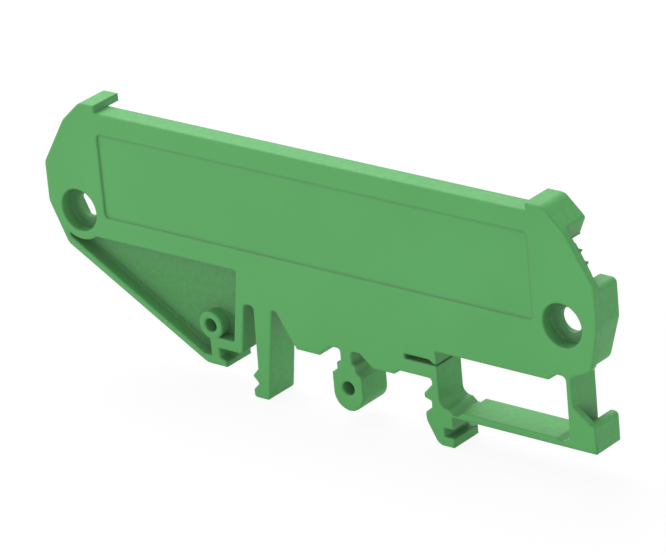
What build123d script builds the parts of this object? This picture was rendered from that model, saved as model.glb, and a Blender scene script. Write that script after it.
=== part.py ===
from build123d import *
import os

os.makedirs("parts", exist_ok=True)

# Every size is in millimetres. X runs along the plate, Y from the front face to the back, Z up.
# The origin is midway between the two screw holes, on the plane that the screw heads seat on.

# Layers, measured back from the front face.
full_depth = 6.5
plate_depth = 3.6
skin_depth = 1.2
floor_depth = 2.4
seat_depth = 2.4

# Screw holes with a round seat for the head.
screw_spacing = 100.0
head_radius = 3.8
screw_radius = 2.2
screw_boss_radius = 5.35

# Outline of the plate; its two ends are alike above the screws.
# Margins and insets are measured along X from the screw holes: outwards, then inwards.
end_margin = 6.7
shoulder_margin = 1.6
corner_inset = 2.4
lip_inset = 5.7
heel_margin = 3.3
cheek_margin = 5.1
top_z = 19.85
ledge_z = 18.6
corner_radius = 1.9
shoulder_z = 16.1
shoulder_radius = 2.6
side_top_z = 7.6
side_bottom_z = 0.6
side_radius = 2.0
edge_radius = 0.3
edge_break = 0.15
heel_z = -6.6
heel_radius = 2.3
cheek_z = -7.0
rim_wall = 1.3

# Shallow recess for the label.
label_inset = 5.65
label_bottom_z = -0.35
label_top_z = 14.75
label_radius = 0.8
label_depth = 0.3

# Hollow cells in the back of the plate.
cell_count = 6
cell_inset = 6.5
cell_rib = 1.2
cell_top_z = 17.3
cell_bottom_z = -2.9
cell_radius = 0.8
low_cell_height = 4.4

# Three cornered lower left part with its open pocket.
tip_x = -24.8
base_z = -22.7
base_radius = 3.0
base_end_x = -20.6
base_end_z = -21.8
pocket_top_z = -4.3
pocket_left_margin = 2.7
pocket_bottom_z = -21.2
pocket_right_x = -16.6
pocket_right_low_x = -18.5
pocket_radius = 0.4
divider_x = -23.75
divider_width = 1.85
shelf_z = -17.6
shelf_thickness = 1.9
ring_x = -23.3
ring_z = -15.6
ring_radius = 2.45
ring_hole_radius = 1.2

# Slot between that part and the toothed leg.
slot_x = -15.6
slot_foot_x = -16.8
slot_width = 2.0
slot_radius = 0.8
slot_top_z = -10.1
shelf_end_z = -19.1

# Toothed leg that grips one side of a rail.
leg_waist_x = -13.9
leg_right_x = -9.7
leg_foot_x = -11.9
leg_root_z = -8.6
leg_bottom_z = -26.85
tooth_x = -15.15
tooth_z = -23.0
tooth_root_z = -21.6
tooth_gap_z = -24.2
low_tooth_z = -25.5

# Slanting relief beside the leg and the plate's lower edge.
relief_x = -8.8
relief_radius = 0.4
relief_foot_x = -5.1
lower_edge_z = -16.05
lower_edge_end_x = 15.1

# Round boss that hangs in the middle.
boss_x = 5.25
boss_z = -21.8
boss_radius = 3.0
boss_hole_z = -20.85
boss_hole_radius = 1.22
boss_hole_depth = 5.0
neck_half = 1.15
neck_top_z = -13.2
collar_half = 1.9
collar_z = -16.45
collar_bottom_z = -17.6
collar_slope = 0.8
notch_half = 5.5
notch_top_half = 3.0
notch_top_z = -13.95

# Springy arm with the hook that grips the other side of the rail.
arm_root_x = 13.0
arm_bottom_z = -15.2
arm_right_x = 24.1
arm_thickness = 1.35
slit_x = 17.6
slit_top_z = -11.8
slit_height = 0.95
slit_gap = 0.35
slit_step_x = 22.6
window_top_z = -10.15
hook_x = 21.05
hook_right_x = 26.5
hook_bottom_z = -26.85
notch_bottom_z = -16.3
catch_z = -18.1
catch_bottom_z = -18.85
rebate_top_z = -19.25
rebate_bottom_z = -20.4
jaw_top_z = -21.5
cavity_x = 24.65
cavity_top_z = -23.5
cavity_height = 1.65
notch_radius = 0.6
hook_slant = 2.2
jaw_radius = 2.2
jaw_foot_radius = 1.6
arm_foot_radius = 1.6

# Bottom bar with two thin hinges, the post and the foot at the right.
bar_top_z = -20.05
bar_thickness = 1.25
hinge_x = 27.3
hinge_depth = 0.85
hinge_flat = 0.7
hinge_slope = 1.0
far_hinge_length = 1.15
far_hinge_depth = 0.45
post_inset = 0.15
post_width = 1.1
post_top_z = -8.9
window_end_length = 3.45
window_step_length = 1.65
post_radius = 0.9
foot_length = 5.2
foot_top_z = -16.35
foot_wall = 1.5
foot_radius = 0.7
foot_hollow_z = -18.4
web_top_z = -13.9
web_end_inset = 0.95

# Full depth blocks behind the skin at the right end and the notched edge between them.
# Their places along X are margins outwards from the right screw hole.
block_corner_radius = 0.6
block_lean_margin = 2.9
block_foot_margin = -0.1
block_foot_z = 13.3
notched_top_margin = 1.1
notched_top_z = 12.9
notched_foot_margin = 3.8
notched_foot_z = 8.2
low_block_margin = 6.5
low_block_top_z = 7.1
low_block_left_margin = 3.3
low_block_knee_margin = 4.2
low_block_knee_z = -7.0
low_block_radius = 0.9
nub_size = 0.7
nub_shares = (0.24, 0.64)

screw_x = screw_spacing / 2
half_length = screw_x + end_margin
shoulder_x = screw_x + shoulder_margin
corner_x = screw_x - corner_inset
lip_x = screw_x - lip_inset
heel_x = -screw_x - heel_margin
cheek_x = screw_x + cheek_margin
pocket_left_x = -screw_x - pocket_left_margin
label_length = screw_spacing - 2 * label_inset
cell_width = (screw_spacing - 2 * cell_inset + cell_rib) / cell_count - cell_rib
block_lean_x = screw_x + block_lean_margin
block_foot_x = screw_x + block_foot_margin
notched_top_x = screw_x + notched_top_margin
notched_foot_x = screw_x + notched_foot_margin
low_block_x = screw_x + low_block_margin
low_block_left_x = screw_x + low_block_left_margin
low_block_knee_x = screw_x + low_block_knee_margin
post_x = screw_x - post_inset
foot_x = post_x + foot_length
window_end_x = post_x - window_end_length
window_step_x = post_x - window_step_length
far_hinge_x = post_x - far_hinge_length
bar_bottom_z = bar_top_z - bar_thickness
slot_middle_x = slot_x + slot_width / 2
leg_x = slot_x + slot_width
front_plane = Plane.XZ.offset(seat_depth)
skin_plane = Plane.XZ.offset(seat_depth - skin_depth)
floor_plane = Plane.XZ.offset(seat_depth - floor_depth)
plate_plane = Plane.XZ.offset(seat_depth - plate_depth)
back_plane = Plane.XZ.offset(seat_depth - full_depth)

# Outline of the plate, drawn as a left and a right part that meet above the slot.
with BuildSketch() as outline:
    with BuildLine():
        FilletPolyline(
            (slot_middle_x, ledge_z),
            (-lip_x, ledge_z),
            (-lip_x, top_z),
            (-corner_x, top_z),
            (-shoulder_x, shoulder_z),
            (-half_length, side_top_z),
            (-half_length, side_bottom_z),
            (heel_x, heel_z),
            (tip_x, base_z),
            (base_end_x, base_z),
            (base_end_x, base_end_z),
            (slot_foot_x, shelf_end_z),
            (slot_x, slot_top_z),
            (slot_middle_x, slot_top_z),
            radius=[
                0,
                0,
                0,
                corner_radius,
                shoulder_radius,
                side_radius,
                side_radius,
                heel_radius,
                base_radius,
                0,
                0,
                0,
                slot_radius,
                0,
            ],
            close=True,
        )
    make_face()
    with BuildLine():
        FilletPolyline(
            (slot_middle_x, ledge_z),
            (slot_middle_x, slot_top_z),
            (relief_x, slot_top_z),
            (relief_foot_x, lower_edge_z),
            (lower_edge_end_x, lower_edge_z),
            (lower_edge_end_x + rim_wall, arm_bottom_z),
            (arm_root_x + full_depth, arm_bottom_z),
            (arm_root_x + full_depth, window_top_z),
            (window_end_x, window_top_z),
            (window_step_x, post_top_z),
            (post_x, post_top_z),
            (post_x, web_top_z),
            (post_x + post_width, web_top_z),
            (post_x + post_width, post_top_z),
            (cheek_x, cheek_z),
            (half_length, side_bottom_z),
            (half_length, side_top_z),
            (shoulder_x, shoulder_z),
            (corner_x, top_z),
            (lip_x, top_z),
            (lip_x, ledge_z),
            radius=[
                0,
                0,
                relief_radius,
                0,
                edge_radius,
                0,
                0,
                0,
                edge_radius,
                edge_radius,
                post_radius,
                0,
                0,
                0,
                heel_radius,
                side_radius,
                side_radius,
                shoulder_radius,
                corner_radius,
                0,
                0,
            ],
            close=True,
        )
    make_face()

# Outline of what stands behind the skin at the right end: block, notched edge, lower block.
with BuildSketch() as end_core:
    with BuildLine():
        FilletPolyline(
            (lip_x, top_z + edge_radius),
            (block_lean_x, top_z + edge_radius),
            (block_foot_x, block_foot_z),
            (notched_top_x, notched_top_z),
            (notched_foot_x, notched_foot_z),
            (low_block_left_x, low_block_top_z),
            (low_block_x, low_block_top_z),
            (low_block_x, side_bottom_z),
            (low_block_knee_x, low_block_knee_z),
            (post_x + post_width, post_top_z),
            (lip_x, post_top_z),
            radius=[0, 0, edge_radius, edge_radius, edge_radius, 0.2, low_block_radius, side_radius, heel_radius, 0, 0],
            close=True,
        )
    make_face()
    for share in nub_shares:
        with Locations(
            (
                notched_top_x + (notched_foot_x - notched_top_x) * share,
                notched_top_z + (notched_foot_z - notched_top_z) * share,
            )
        ):
            RegularPolygon(nub_size, 3, rotation=30)

with BuildPart() as end_plate:
    # Plate with both ends, the three cornered part and the part above the rail.
    with BuildSketch(plate_plane):
        add(outline.sketch)
    extrude(amount=plate_depth)

    # Hollow cells in the back, with ribs left between them.
    with BuildSketch(plate_plane):
        cell_height = cell_top_z - cell_bottom_z
        with Locations((0, cell_bottom_z + cell_height / 2)):
            with GridLocations(cell_width + cell_rib, 0, cell_count, 1):
                RectangleRounded(cell_width, cell_height, cell_radius)
        low_cell_z = cell_bottom_z - cell_rib - low_cell_height / 2
        with Locations((0, low_cell_z)):
            with GridLocations(cell_width + cell_rib, 0, 2, 1):
                RectangleRounded(cell_width, low_cell_height, cell_radius)
        with Locations((2 * (cell_width + cell_rib), low_cell_z)):
            with GridLocations(cell_width + cell_rib, 0, 2, 1):
                RectangleRounded(cell_width, low_cell_height, cell_radius)
        with GridLocations(screw_spacing, 0, 2, 1):
            Circle(screw_boss_radius, mode=Mode.SUBTRACT)
    extrude(amount=plate_depth - skin_depth, mode=Mode.SUBTRACT)

    # The right end steps back behind the skin.
    with BuildSketch(plate_plane):
        with BuildLine():
            Polyline(
                (block_foot_x - edge_radius, post_top_z),
                (half_length + full_depth, post_top_z),
                (half_length + full_depth, top_z + edge_radius),
                (block_foot_x - edge_radius, top_z + edge_radius),
                close=True,
            )
        make_face()
        add(end_core.sketch, mode=Mode.SUBTRACT)
    extrude(amount=plate_depth - skin_depth, mode=Mode.SUBTRACT)

    # Full depth rim round the left end and down the slanting edge.
    with BuildSketch(back_plane):
        with BuildLine():
            rim_line = FilletPolyline(
                (-lip_x, top_z),
                (-corner_x, top_z),
                (-shoulder_x, shoulder_z),
                (-half_length, side_top_z),
                (-half_length, side_bottom_z),
                (heel_x, heel_z),
                (tip_x, base_z),
                (base_end_x, base_z),
                radius=[corner_radius, shoulder_radius, side_radius, side_radius, heel_radius, base_radius],
            )
            offset(rim_line, amount=rim_wall, side=Side.LEFT)
        make_face()
    extrude(amount=full_depth)

    # Full depth toothed leg.
    with BuildSketch(back_plane):
        with BuildLine():
            FilletPolyline(
                (slot_middle_x, leg_root_z),
                (slot_middle_x, slot_top_z),
                (leg_x, slot_top_z),
                (leg_waist_x, tooth_root_z),
                (tooth_x, tooth_z),
                (leg_waist_x, tooth_gap_z),
                (tooth_x, low_tooth_z),
                (tooth_x, leg_bottom_z),
                (leg_foot_x, leg_bottom_z),
                (leg_right_x, slot_top_z),
                (leg_right_x, leg_root_z),
                radius=[0, 0, slot_radius, edge_radius, edge_radius, edge_radius, edge_radius, 0.5, 0.6, 0, 0],
                close=True,
            )
        make_face()
    extrude(amount=full_depth)

    # Notches beside the neck of the round boss, then the boss itself.
    with BuildSketch(plate_plane):
        with BuildLine():
            FilletPolyline(
                (boss_x - notch_half, lower_edge_z),
                (boss_x - notch_top_half, notch_top_z),
                (boss_x - neck_half, notch_top_z),
                (boss_x - neck_half, lower_edge_z),
                radius=[0, edge_radius, notch_radius, 0],
                close=True,
            )
        make_face()
        mirror(about=Plane.YZ.offset(boss_x))
    extrude(amount=plate_depth, mode=Mode.SUBTRACT)
    with BuildSketch(back_plane):
        with Locations((boss_x, boss_z)):
            Circle(boss_radius)
        with BuildLine():
            Polyline(
                (boss_x, neck_top_z),
                (boss_x - neck_half, neck_top_z),
                (boss_x - neck_half, collar_z + edge_radius),
                (boss_x - collar_half, collar_z),
                (boss_x - collar_half, collar_bottom_z),
                (boss_x - boss_radius, collar_bottom_z - collar_slope),
                (boss_x - boss_radius, boss_z),
                (boss_x, boss_z),
                close=True,
            )
        make_face()
        mirror(about=Plane.YZ.offset(boss_x))
    extrude(amount=full_depth)

    # Springy arm, the stop above it and the hook at its free end.
    with BuildSketch(back_plane):
        with BuildLine():
            FilletPolyline(
                (arm_root_x, window_top_z + rim_wall),
                (arm_root_x, lower_edge_z),
                (lower_edge_end_x, lower_edge_z),
                (lower_edge_end_x + rim_wall, arm_bottom_z),
                (arm_right_x - arm_thickness, arm_bottom_z),
                (arm_right_x - arm_thickness, notch_bottom_z),
                (hook_x, catch_z),
                (hook_x, catch_bottom_z),
                (hook_x + arm_thickness, rebate_top_z),
                (hook_x + arm_thickness, rebate_bottom_z),
                (hook_x, jaw_top_z),
                (hook_x, jaw_top_z - arm_thickness),
                (hook_x + hook_slant, hook_bottom_z),
                (hook_right_x, hook_bottom_z),
                (hook_right_x, bar_bottom_z),
                (hook_right_x, bar_top_z),
                (arm_right_x, bar_top_z),
                (arm_right_x, window_top_z),
                (arm_right_x, window_top_z + rim_wall),
                radius=[
                    0,
                    0,
                    edge_radius,
                    edge_radius,
                    notch_radius,
                    edge_radius,
                    edge_radius,
                    edge_radius,
                    edge_radius,
                    edge_radius,
                    edge_radius,
                    jaw_radius,
                    jaw_foot_radius,
                    edge_radius,
                    0,
                    0,
                    arm_foot_radius,
                    0,
                    0,
                ],
                close=True,
            )
        make_face()
    extrude(amount=full_depth)
    with BuildSketch(back_plane):
        with BuildLine():
            FilletPolyline(
                (slit_x, slit_top_z),
                (slit_step_x, slit_top_z),
                (slit_step_x + slit_height, slit_top_z - slit_height + slit_gap),
                (arm_right_x + slit_gap, slit_top_z - slit_height + slit_gap),
                (arm_right_x + slit_gap, slit_top_z - slit_height),
                (slit_x, slit_top_z - slit_height),
                radius=[edge_radius, 0, 0, 0, 0, edge_radius],
                close=True,
            )
        make_face()
        with BuildLine():
            FilletPolyline(
                (hook_right_x + slit_gap, cavity_top_z),
                (cavity_x, cavity_top_z),
                (cavity_x, cavity_top_z - cavity_height),
                (hook_right_x + slit_gap, cavity_top_z - cavity_height),
                radius=[0, edge_radius, edge_radius, 0],
                close=True,
            )
        make_face()
    extrude(amount=full_depth, mode=Mode.SUBTRACT)

    # Bottom bar, post and foot.
    with BuildSketch(back_plane):
        with BuildLine():
            Polyline(
                (arm_right_x, bar_top_z),
                (foot_x, bar_top_z),
                (foot_x, bar_bottom_z),
                (arm_right_x, bar_bottom_z),
                close=True,
            )
        make_face()
        with BuildLine():
            Polyline(
                (post_x, post_top_z + rim_wall),
                (post_x + post_width, post_top_z + rim_wall),
                (post_x + post_width, bar_bottom_z),
                (post_x, bar_bottom_z),
                close=True,
            )
        make_face()
        with BuildLine():
            FilletPolyline(
                (post_x, foot_hollow_z),
                (foot_x - foot_wall - foot_wall, foot_hollow_z),
                (foot_x - foot_wall, foot_top_z),
                (foot_x, foot_top_z),
                (foot_x, bar_bottom_z),
                (post_x, bar_bottom_z),
                radius=[0, 0.9, 0.4, foot_radius, edge_radius, 0],
                close=True,
            )
        make_face()
    extrude(amount=full_depth)
    with BuildSketch(skin_plane):
        with BuildLine():
            Polyline(
                (post_x, web_top_z),
                (post_x + post_width, web_top_z),
                (foot_x - web_end_inset, foot_top_z),
                (foot_x - web_end_inset, bar_bottom_z),
                (post_x, bar_bottom_z),
                close=True,
            )
        make_face()
    extrude(amount=skin_depth)
    with BuildSketch(back_plane):
        with BuildLine():
            Polyline(
                (hinge_x - hinge_flat / 2 - hinge_slope, bar_top_z + edge_radius),
                (hinge_x - hinge_flat / 2 - hinge_slope, bar_top_z),
                (hinge_x - hinge_flat / 2, bar_top_z - hinge_depth),
                (hinge_x + hinge_flat / 2, bar_top_z - hinge_depth),
                (hinge_x + hinge_flat / 2 + hinge_slope, bar_top_z),
                (hinge_x + hinge_flat / 2 + hinge_slope, bar_top_z + edge_radius),
                close=True,
            )
        make_face()
        with BuildLine():
            Polyline(
                (far_hinge_x - hinge_flat / 2 - hinge_slope, bar_top_z + edge_radius),
                (far_hinge_x - hinge_flat / 2 - hinge_slope, bar_top_z),
                (far_hinge_x - hinge_flat / 2, bar_top_z - far_hinge_depth),
                (far_hinge_x + hinge_flat / 2, bar_top_z - far_hinge_depth),
                (far_hinge_x + hinge_flat / 2 + hinge_slope / 2, bar_top_z + edge_radius),
                close=True,
            )
        make_face()
    extrude(amount=full_depth, mode=Mode.SUBTRACT)

    # Full depth blocks behind the right end, the upper one hollow from the back.
    with BuildSketch(back_plane):
        add(end_core.sketch)
        add(outline.sketch, mode=Mode.INTERSECT)
        with BuildLine():
            Polyline(
                (lip_x, top_z + edge_radius),
                (half_length, top_z + edge_radius),
                (half_length, block_foot_z),
                (lip_x, block_foot_z),
                close=True,
            )
        make_face(mode=Mode.INTERSECT)
        offset(amount=-rim_wall, mode=Mode.SUBTRACT)
    extrude(amount=full_depth - skin_depth)
    with BuildSketch(back_plane):
        add(end_core.sketch)
        with BuildLine():
            Polyline(
                (low_block_left_x, low_block_top_z),
                (half_length, low_block_top_z),
                (half_length, post_top_z),
                (post_x, post_top_z),
                (post_x, post_top_z + rim_wall),
                (low_block_left_x, low_block_knee_z / 2),
                close=True,
            )
        make_face(mode=Mode.INTERSECT)
    extrude(amount=full_depth - skin_depth)

    # Open pocket of the three cornered part, with the ribs and the ring left standing.
    with BuildSketch(floor_plane):
        with BuildLine():
            FilletPolyline(
                (pocket_left_x, pocket_top_z),
                (pocket_left_x, heel_z + rim_wall),
                (tip_x - pocket_radius, pocket_bottom_z),
                (base_end_x, pocket_bottom_z),
                (pocket_right_low_x, shelf_z),
                (pocket_right_x, pocket_top_z),
                radius=[0, pocket_radius, pocket_radius, 0, 0, pocket_radius],
                close=True,
            )
        make_face()
        with BuildLine():
            Polyline(
                (divider_x, shelf_z - shelf_thickness),
                (divider_x, pocket_bottom_z),
                (divider_x + divider_width, pocket_bottom_z),
                (base_end_x, base_end_z),
                (slot_x, base_end_z),
                (slot_x, shelf_z - shelf_thickness),
                close=True,
            )
        make_face()
        with Locations((-screw_spacing / 2, 0)):
            Circle(screw_boss_radius, mode=Mode.SUBTRACT)
        with BuildLine():
            Polyline(
                (divider_x, ring_z),
                (divider_x + divider_width, ring_z),
                (divider_x + divider_width, base_z),
                (divider_x, base_z),
                close=True,
            )
        make_face(mode=Mode.SUBTRACT)
        with BuildLine():
            Polyline(
                (divider_x, shelf_z),
                (slot_x, shelf_z),
                (slot_x, shelf_z - shelf_thickness),
                (divider_x, shelf_z - shelf_thickness),
                close=True,
            )
        make_face(mode=Mode.SUBTRACT)
        with Locations((ring_x, ring_z)):
            Circle(ring_radius, mode=Mode.SUBTRACT)
    extrude(amount=floor_depth, mode=Mode.SUBTRACT)

    # Blind holes in the ring and the round boss.
    with BuildSketch(front_plane):
        with Locations((ring_x, ring_z)):
            Circle(ring_hole_radius)
    extrude(amount=-floor_depth, mode=Mode.SUBTRACT)
    with BuildSketch(front_plane):
        with Locations((boss_x, boss_hole_z)):
            Circle(boss_hole_radius)
    extrude(amount=-boss_hole_depth, mode=Mode.SUBTRACT)

    # Screw holes with their seats.
    with Locations(front_plane):
        with GridLocations(screw_spacing, 0, 2, 1):
            CounterBoreHole(screw_radius, head_radius, seat_depth)

    # Shallow recess for the label.
    with BuildSketch(front_plane):
        with Locations((0, (label_bottom_z + label_top_z) / 2)):
            RectangleRounded(label_length, label_top_z - label_bottom_z, label_radius)
    extrude(amount=-label_depth, mode=Mode.SUBTRACT)

    # Rounded outer corner of the upper block.
    corner_point = (shoulder_x, full_depth / 2 - seat_depth, shoulder_z)
    fillet(edges().filter_by(Axis.Y).sort_by_distance(corner_point)[0], block_corner_radius)

    # Small bevels that take the sharpness off the edges of the front face and of the back.
    front_edges = edges().filter_by_position(Axis.Y, -seat_depth, -seat_depth)
    chamfer(front_edges, edge_break)
    back_edges = edges().filter_by_position(Axis.Y, full_depth - seat_depth, full_depth - seat_depth)
    chamfer(back_edges, edge_break)

end_plate.part.label = "end_plate"
export_step(end_plate.part, "parts/end_plate.step")
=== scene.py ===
import bpy
import math
import numpy as np
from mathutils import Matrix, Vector


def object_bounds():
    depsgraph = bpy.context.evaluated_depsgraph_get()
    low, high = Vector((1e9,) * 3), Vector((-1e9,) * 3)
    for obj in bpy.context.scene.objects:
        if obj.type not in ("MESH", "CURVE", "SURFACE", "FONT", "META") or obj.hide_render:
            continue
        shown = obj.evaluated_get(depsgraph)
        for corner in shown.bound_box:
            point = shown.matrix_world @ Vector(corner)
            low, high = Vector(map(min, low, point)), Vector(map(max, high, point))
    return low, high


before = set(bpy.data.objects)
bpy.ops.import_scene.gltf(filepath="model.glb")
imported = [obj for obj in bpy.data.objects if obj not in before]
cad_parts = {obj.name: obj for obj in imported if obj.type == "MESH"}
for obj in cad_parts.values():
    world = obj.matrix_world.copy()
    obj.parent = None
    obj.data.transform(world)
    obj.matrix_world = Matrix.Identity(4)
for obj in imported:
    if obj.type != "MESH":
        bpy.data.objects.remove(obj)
cad_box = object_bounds()
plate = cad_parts["end_plate"]

# Camera, fitted to the screw holes and the straight edges in the photograph, in metres and degrees.
CAMERA_PLACE = (0.50214, -0.5894, 0.33609)
CAMERA_TURN = (66.24914, 4.82772, 38.18781)
CAMERA_NEAR = 0.05
CAMERA_FAR = 20.0
LENS_MM = 281.2
SENSOR_MM = 36.0

# Lamps: name, place in metres, side of the square in metres, power in watts.
LAMPS = (
    ("front_left", (-3.1, -3.0, 0.0), 2.0, 99.0),
    ("above_behind", (-0.5, 0.25, 0.85), 0.8, 9.0),
    ("front_right", (0.7, -1.05, -0.01), 0.5, 3.0),
)
WORLD_LIGHT = 0.57
WHITE = (1.0, 1.0, 1.0, 1.0)
BLACK = (0.0, 0.0, 0.0, 1.0)

# Sheet of paper just under the lowest point of the plate, in metres.
FLOOR_GAP = 0.0002
FLOOR_HEIGHT = cad_box[0][2] - FLOOR_GAP
FLOOR_HALF_SIDE = 4.0

# White paper: the grey that is lit, and the strength and share of the white that is its own.
PAPER_GREY = (0.65, 0.65, 0.65, 1.0)
PAPER_ROUGHNESS = 0.9
PAPER_GLOSS = 0.1
PAPER_GLOW = 1.05
PAPER_GLOW_SHARE = 0.87

# Front and sunk faces: how squarely a face points forward, and where along Y it counts as sunk and
# takes painted shade.
TURNED_AWAY = -0.85
SQUARE_ON = -0.97
FRONT_FACE = cad_box[0][1]
SUNK_FROM = FRONT_FACE + 0.0010
SUNK_TO = FRONT_FACE + 0.0014

# Label recess, in metres.
MILLIMETRE = 0.001
LABEL_DEPTH = 0.0003
LABEL_MIDDLE_Z = 0.0072
LABEL_HALF_LENGTH = 0.04435
LABEL_HALF_HEIGHT = 0.00755
LABEL_RADIUS = 0.0008

# Painted shade line inside its border: how full it is, by millimetres beyond the straight inner
# rectangle.
LABEL_SHADE_STOPS = ((0.18, BLACK), (0.60, WHITE), (0.84, WHITE), (0.90, BLACK))
# Grey that the painted shade line multiplies the green by.
LABEL_SHADE_GREY = (0.89, 0.89, 0.89, 1.0)

# Greens of the moulding compound, and the paler, greyer green of painted shade in its inner corners.
GREEN_DARK = (0.087, 0.372, 0.101, 1.0)
GREEN_LIGHT = (0.096, 0.398, 0.111, 1.0)
GREEN_CORNER_SHADE = (0.155, 0.30, 0.165, 1.0)

# Painted shade in inner corners: how far off a wall still shuts a place in, the openness at which
# the paler green starts and is full, and the most of it that a corner takes.
CORNER_REACH = 0.005
CORNER_OPEN = 1.0
CORNER_SHUT = 0.4
CORNER_SHARE = 0.6
CORNER_SAMPLES = 6

# Cloud patterns: cells to the metre, finer layers, and the share that each finer layer keeps.
DRIFT = (60.0, 4.0, 0.5)
FLOW = (90.0, 1.0, 0.5)
CLOUDS = (900.0, 3.0, 0.5)
GRAIN = (2600.0, 4.0, 0.65)

# Stretch of a pattern that its greens, shades or roughness run over, and those shades and roughness.
DRIFT_STRETCH = (0.3, 0.7)
CLOUD_STRETCH = (0.35, 0.65)
CLOUD_SHADES = (0.95, 1.05)
# Painted shade on sunk floors: the stretch of the grain and the shades that darken them.
SUNK_SHADE_STRETCH = (0.32, 0.68)
SUNK_SHADE_GREYS = (0.70, 0.86)
ROUGH_STRETCH = (0.3, 0.7)
ROUGHNESS = (0.44, 0.60)
GLOSS = 0.36

# Relief: rounding of the edges, waves left by the flow, and grain of the mould, in metres.
EDGE_ROUNDING = 0.0006
EDGE_SAMPLES = 8
FLOW_DEPTH = 0.0001
FLOW_STRENGTH = 0.2
GRAIN_DEPTH = 0.00008
GRAIN_STRENGTH_FRONT = 0.12
GRAIN_STRENGTH_ELSEWHERE = 0.45


def place_camera():
    """Camera at the photograph's place and tilt, with a long lens."""
    data = bpy.data.cameras.new("photo_camera")
    data.lens = LENS_MM
    data.sensor_width = SENSOR_MM
    data.clip_start = CAMERA_NEAR
    data.clip_end = CAMERA_FAR
    camera = bpy.data.objects.new("photo_camera", data)
    camera.location = CAMERA_PLACE
    camera.rotation_euler = tuple(math.radians(angle) for angle in CAMERA_TURN)
    bpy.context.scene.collection.objects.link(camera)
    bpy.context.scene.camera = camera


def add_lamp(name, place, side, power):
    """Square soft lamp at a place, turned towards the point midway between the screw holes."""
    data = bpy.data.lights.new(name, "AREA")
    data.shape = "SQUARE"
    data.size = side
    data.energy = power
    lamp = bpy.data.objects.new(name, data)
    lamp.location = place
    lamp.rotation_euler = (-Vector(place)).to_track_quat("-Z", "Y").to_euler()
    bpy.context.scene.collection.objects.link(lamp)


def add_node(tree, kind, inputs, **settings):
    """Shader node with its settings. Each input takes a fixed value, or a wire from an output."""
    node = tree.nodes.new(kind)
    for name, value in settings.items():
        setattr(node, name, value)
    for socket, value in inputs.items():
        if isinstance(value, bpy.types.NodeSocket):
            tree.links.new(value, node.inputs[socket])
        else:
            node.inputs[socket].default_value = value
    return node


def combine(tree, operation, first, second):
    """Sum, difference, product or greater of two values."""
    node = add_node(tree, "ShaderNodeMath", {0: first, 1: second}, operation=operation)
    return node.outputs["Value"]


def combine_sides(tree, operation, first, second):
    """Difference or greater of two places, worked out for X, Y and Z each."""
    node = add_node(tree, "ShaderNodeVectorMath", {0: first, 1: second}, operation=operation)
    return node.outputs["Vector"]


def part_of(tree, place, side):
    """X, Y or Z of a place or of a direction."""
    return add_node(tree, "ShaderNodeSeparateXYZ", {"Vector": place}).outputs[side]


def carry(tree, value, start, end, new_start=0.0, new_end=1.0):
    """Value carried in a straight line from one range to another, and held at its ends."""
    limits = {"From Min": start, "From Max": end, "To Min": new_start, "To Max": new_end}
    return add_node(tree, "ShaderNodeMapRange", {"Value": value, **limits}).outputs["Result"]


def cloud_pattern(tree, place, pattern):
    """Pattern of soft clouds on the plate's own coordinates."""
    scale, detail, roughness = pattern
    inputs = {"Vector": place, "Scale": scale, "Detail": detail, "Roughness": roughness}
    return add_node(tree, "ShaderNodeTexNoise", inputs).outputs["Fac"]


def grade(tree, value, stops):
    """Colour that runs through the stops, each a position and a colour."""
    node = add_node(tree, "ShaderNodeValToRGB", {"Fac": value})
    elements = node.color_ramp.elements
    elements[0].position, elements[0].color = stops[0]
    elements[1].position, elements[1].color = stops[1]
    for position, colour in stops[2:]:
        elements.new(position).color = colour
    return node.outputs["Color"]


def grey_grade(tree, value, stretch, shades):
    """Grey that runs from one shade to the other over the stretch."""
    greys = [(shade, shade, shade, 1.0) for shade in shades]
    return grade(tree, value, list(zip(stretch, greys)))


def blend(tree, kind, amount, base, other):
    """Base colour mixed or multiplied with another one by an amount."""
    inputs = {"Factor": amount, "A": base, "B": other}
    node = add_node(tree, "ShaderNodeMix", inputs, data_type="RGBA", blend_type=kind)
    return node.outputs["Result"]


def mix_shaders(tree, amount, first, second):
    """Two shaders mixed by an amount, which is the share of the second."""
    return add_node(tree, "ShaderNodeMixShader", {"Fac": amount, 1: first, 2: second}).outputs["Shader"]


def plain_glow(tree, kind, strength):
    """White light of one strength, for the world or for paper, as the kind says."""
    return add_node(tree, kind, {"Color": WHITE, "Strength": strength}).outputs[0]


def seen_mask(tree):
    """Value of 1 for rays from the camera, for gloss and through clear things."""
    rays = add_node(tree, "ShaderNodeLightPath", {}).outputs
    direct = combine(tree, "MAXIMUM", rays["Is Camera Ray"], rays["Is Transmission Ray"])
    return combine(tree, "MAXIMUM", direct, rays["Is Glossy Ray"])


def white_world():
    """World that lights softly and is seen as plain white."""
    world = bpy.data.worlds.new("studio")
    world.use_nodes = True
    tree = world.node_tree
    tree.nodes.clear()
    soft = plain_glow(tree, "ShaderNodeBackground", WORLD_LIGHT)
    white = plain_glow(tree, "ShaderNodeBackground", 1.0)
    mixed = mix_shaders(tree, seen_mask(tree), soft, white)
    add_node(tree, "ShaderNodeOutputWorld", {"Surface": mixed})
    bpy.context.scene.world = world


def white_paper():
    """White paper: most of its white is its own, and the rest is lit, so soft shadows stay on it."""
    material = bpy.data.materials.new("white_paper")
    material.use_nodes = True
    tree = material.node_tree
    shader = tree.nodes["Principled BSDF"]
    shader.inputs["Base Color"].default_value = PAPER_GREY
    shader.inputs["Roughness"].default_value = PAPER_ROUGHNESS
    shader.inputs["Specular IOR Level"].default_value = PAPER_GLOSS
    glow = plain_glow(tree, "ShaderNodeEmission", PAPER_GLOW)
    share = combine(tree, "MULTIPLY", seen_mask(tree), PAPER_GLOW_SHARE)
    mixed = mix_shaders(tree, share, shader.outputs["BSDF"], glow)
    tree.links.new(mixed, tree.nodes["Material Output"].inputs["Surface"])
    return material


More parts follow.
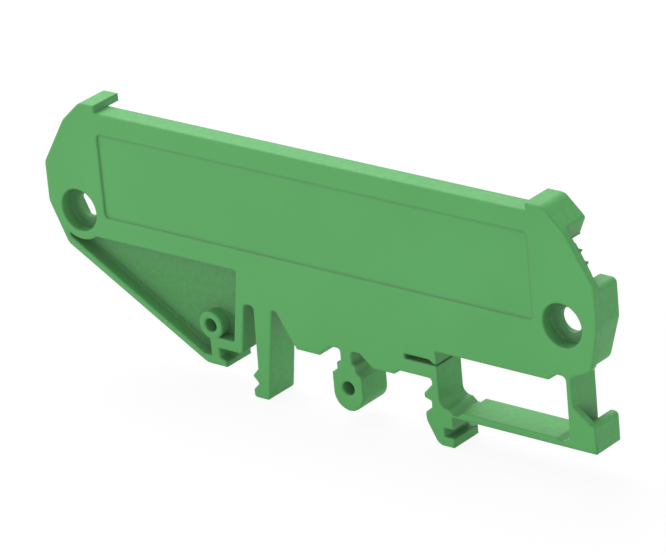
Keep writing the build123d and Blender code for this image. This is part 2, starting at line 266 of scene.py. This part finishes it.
def pale_floor():
    """Level square sheet: four corners at plus and minus the half side, at the floor's height."""
    corners = np.array([(-1, -1), (1, -1), (1, 1), (-1, 1)]) * FLOOR_HALF_SIDE
    points = np.column_stack([corners, np.full(4, FLOOR_HEIGHT)])
    mesh = bpy.data.meshes.new("floor")
    mesh.from_pydata(points.tolist(), [], [(0, 1, 2, 3)])
    mesh.materials.append(white_paper())
    floor = bpy.data.objects.new("floor", mesh)
    bpy.context.scene.collection.objects.link(floor)


def face_masks(tree, place, facing):
    """Masks of the front faces, and of the forward faces that lie sunk behind them and take painted
    shade.
    """
    forward = carry(tree, part_of(tree, facing, "Y"), TURNED_AWAY, SQUARE_ON)
    deep = carry(tree, part_of(tree, place, "Y"), SUNK_FROM, SUNK_TO)
    sunk_shade = combine(tree, "MULTIPLY", forward, deep)
    return combine(tree, "SUBTRACT", forward, sunk_shade), sunk_shade


def label_shade_line(tree, place):
    """Band of painted shade just inside the rounded border of the label recess.

    The distance is that of a rounded rectangle: the part of the point's mirrored offset
    from the middle that lies beyond the straight inner rectangle, taken as a length.
    The straight inner rectangle ends one corner radius short of the border, and its reach
    of 1 along Y drops the depth out of the offset.
    """
    inner = (LABEL_HALF_LENGTH - LABEL_RADIUS, 1.0, LABEL_HALF_HEIGHT - LABEL_RADIUS)
    offset = combine_sides(tree, "SUBTRACT", place, (0.0, 0.0, LABEL_MIDDLE_Z))
    mirrored = add_node(tree, "ShaderNodeVectorMath", {0: offset}, operation="ABSOLUTE")
    beyond = combine_sides(tree, "SUBTRACT", mirrored.outputs["Vector"], inner)
    beyond = combine_sides(tree, "MAXIMUM", beyond, (0.0, 0.0, 0.0))
    reach = add_node(tree, "ShaderNodeVectorMath", {0: beyond}, operation="LENGTH")
    band = grade(tree, carry(tree, reach.outputs["Value"], 0.0, MILLIMETRE), LABEL_SHADE_STOPS)
    floor = {0: part_of(tree, place, "Y"), 1: FRONT_FACE + LABEL_DEPTH, 2: LABEL_DEPTH / 2}
    on_floor = add_node(tree, "ShaderNodeMath", floor, operation="COMPARE")
    return combine(tree, "MULTIPLY", band, on_floor.outputs["Value"])


def corner_painted_shade(tree):
    """Painted shade: how much paler, greyer green a place takes, by how far the walls near it shut it
    in.
    """
    near = add_node(
        tree,
        "ShaderNodeAmbientOcclusion",
        {"Distance": CORNER_REACH},
        samples=CORNER_SAMPLES,
        only_local=True,
    )
    return carry(tree, near.outputs["AO"], CORNER_OPEN, CORNER_SHUT, 0.0, CORNER_SHARE)


def plate_colour(tree, place, front, sunk_shade, grain):
    """Green that drifts slowly, cloudy off the front, with painted shade: paler, greyer green in inner
    corners, darker grainy sunk floors, and a darker line inside the label border.
    """
    greens = list(zip(DRIFT_STRETCH, (GREEN_DARK, GREEN_LIGHT)))
    colour = grade(tree, cloud_pattern(tree, place, DRIFT), greens)
    clouds = grey_grade(tree, cloud_pattern(tree, place, CLOUDS), CLOUD_STRETCH, CLOUD_SHADES)
    elsewhere = combine(tree, "SUBTRACT", 1.0, front)
    colour = blend(tree, "MULTIPLY", elsewhere, colour, clouds)
    # Painted shade: paler, greyer green in the inner corners.
    colour = blend(tree, "MIX", corner_painted_shade(tree), colour, GREEN_CORNER_SHADE)
    # Painted shade: sunk floors darkened, unevenly by the grain.
    sunk_shade_grain = grey_grade(tree, grain, SUNK_SHADE_STRETCH, SUNK_SHADE_GREYS)
    colour = blend(tree, "MULTIPLY", sunk_shade, colour, sunk_shade_grain)
    # Painted shade: a darker line just inside the label border.
    return blend(tree, "MULTIPLY", label_shade_line(tree, place), colour, LABEL_SHADE_GREY)


def plate_relief(tree, place, front, grain):
    """Softly rounded edges, then the slow waves of the flow, then the grain of the mould."""
    rounded = {"Radius": EDGE_ROUNDING}
    edges = add_node(tree, "ShaderNodeBevel", rounded, samples=EDGE_SAMPLES).outputs["Normal"]
    waves = {
        "Strength": FLOW_STRENGTH,
        "Distance": FLOW_DEPTH,
        "Height": cloud_pattern(tree, place, FLOW),
        "Normal": edges,
    }
    flow = add_node(tree, "ShaderNodeBump", waves).outputs["Normal"]
    grains = {
        "Strength": carry(tree, front, 0.0, 1.0, GRAIN_STRENGTH_ELSEWHERE, GRAIN_STRENGTH_FRONT),
        "Distance": GRAIN_DEPTH,
        "Height": grain,
        "Normal": flow,
    }
    return add_node(tree, "ShaderNodeBump", grains).outputs["Normal"]


def moulded_green():
    """Green moulding compound with an even satin front and the mould's grain elsewhere."""
    material = bpy.data.materials.new("moulded_green")
    material.use_nodes = True
    tree = material.node_tree
    shader = tree.nodes["Principled BSDF"]
    shader.inputs["Specular IOR Level"].default_value = GLOSS
    coordinates = add_node(tree, "ShaderNodeTexCoord", {}).outputs
    place = coordinates["Object"]
    front, sunk_shade = face_masks(tree, place, coordinates["Normal"])
    grain = cloud_pattern(tree, place, GRAIN)
    tree.links.new(plate_colour(tree, place, front, sunk_shade, grain), shader.inputs["Base Color"])
    tree.links.new(carry(tree, grain, *ROUGH_STRETCH, *ROUGHNESS), shader.inputs["Roughness"])
    tree.links.new(plate_relief(tree, place, front, grain), shader.inputs["Normal"])
    return material


place_camera()
white_world()
pale_floor()
for lamp_name, lamp_place, lamp_side, lamp_power in LAMPS:
    add_lamp(lamp_name, lamp_place, lamp_side, lamp_power)

plate.data.materials.clear()
plate.data.materials.append(moulded_green())

bpy.context.scene.view_settings.view_transform = "Standard"
